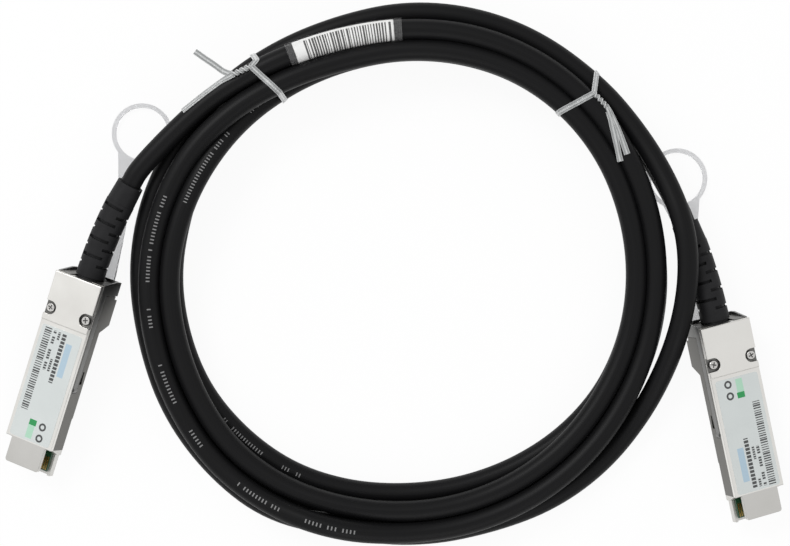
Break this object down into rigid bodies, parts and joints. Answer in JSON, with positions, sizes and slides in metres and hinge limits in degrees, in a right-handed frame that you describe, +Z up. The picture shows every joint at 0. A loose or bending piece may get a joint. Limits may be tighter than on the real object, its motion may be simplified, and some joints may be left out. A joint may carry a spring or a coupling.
{
  "type": "direct attach copper cable",
  "caption": "Coiled black round cable with a metal pluggable connector at each end, each with a sprung latch slider, a ring pull tab and a slotted strain relief boot, held by twist ties.",
  "frame": {"origin": "centre of the two connectors' bounding box in plan (shells, boots and pull tabs, without the free cable), on the table they lie on", "axes": "+Z up from the table; +X from the left connector to the right one, both noses pointing roughly to -Y; the coil lies between them in the XY plane"},
  "size_m": [0.265, 0.1843, 0.0226],
  "materials": {
    "shell_metal": "satin zinc die casting with a nickel finish",
    "screw_steel": "nickel plated screw heads",
    "card_laminate": "solder mask over glass laminate",
    "contact_gold": "hard gold plating",
    "potting_resin": "cast resin",
    "pair_foil": "foil wrapped pairs",
    "ferrule_brass": "crimped brass",
    "slider_steel": "stamped stainless steel",
    "spring_steel": "drawn spring wire",
    "boot_rubber": "matt moulded rubber",
    "label_film": "pale semi-matt label film",
    "tab_plastic": "translucent light grey moulding",
    "cable_jacket": "extruded black jacket with a soft sheen",
    "sleeve_clear": "clear tubing",
    "marker_paper": "plain white paper",
    "tie_plastic": "translucent ribbed tie"
  },
  "bodies": {
    "cable_and_shells": {"lower_shell_a": "shell_metal", "cover_shell_a": "shell_metal", "cover_screws_a": "screw_steel", "paddle_card_a": "card_laminate", "edge_contacts_a": "contact_gold", "solder_potting_a": "potting_resin", "conductor_pairs_a": "pair_foil", "crimp_ferrule_a": "ferrule_brass", "return_springs_a": "spring_steel", "strain_relief_a": "boot_rubber", "label_a": "label_film", "cable_tail_a": "cable_jacket", "lower_shell_b": "shell_metal", "cover_shell_b": "shell_metal", "cover_screws_b": "screw_steel", "paddle_card_b": "card_laminate", "edge_contacts_b": "contact_gold", "solder_potting_b": "potting_resin", "conductor_pairs_b": "pair_foil", "crimp_ferrule_b": "ferrule_brass", "return_springs_b": "spring_steel", "strain_relief_b": "boot_rubber", "label_b": "label_film", "cable_tail_b": "cable_jacket", "cable_coil": "cable_jacket", "cable_outer_turn": "cable_jacket", "marker_sleeve": "sleeve_clear", "marker_paper": "marker_paper", "tie_1": "tie_plastic", "tie_2": "tie_plastic"},
    "latch_a": {"latch_slider_a": "slider_steel", "pull_tab_a": "tab_plastic"},
    "latch_b": {"latch_slider_b": "slider_steel", "pull_tab_b": "tab_plastic"}
  },
  "joints": [
    {"name": "latch_pull_a", "type": "slide", "parent": "cable_and_shells", "child": "latch_a", "axis": [0.3048, 0.9493, 0.0767], "range_m": [0, 0.0022], "stiffness_N_per_m": 1500, "springref_m": -0.0008, "deforming": ["return_springs_a"]},
    {"name": "latch_pull_b", "type": "slide", "parent": "cable_and_shells", "child": "latch_b", "axis": [-0.2141, 0.9738, 0.0767], "range_m": [0, 0.0022], "stiffness_N_per_m": 1500, "springref_m": -0.0008, "deforming": ["return_springs_b"]}
  ]
}
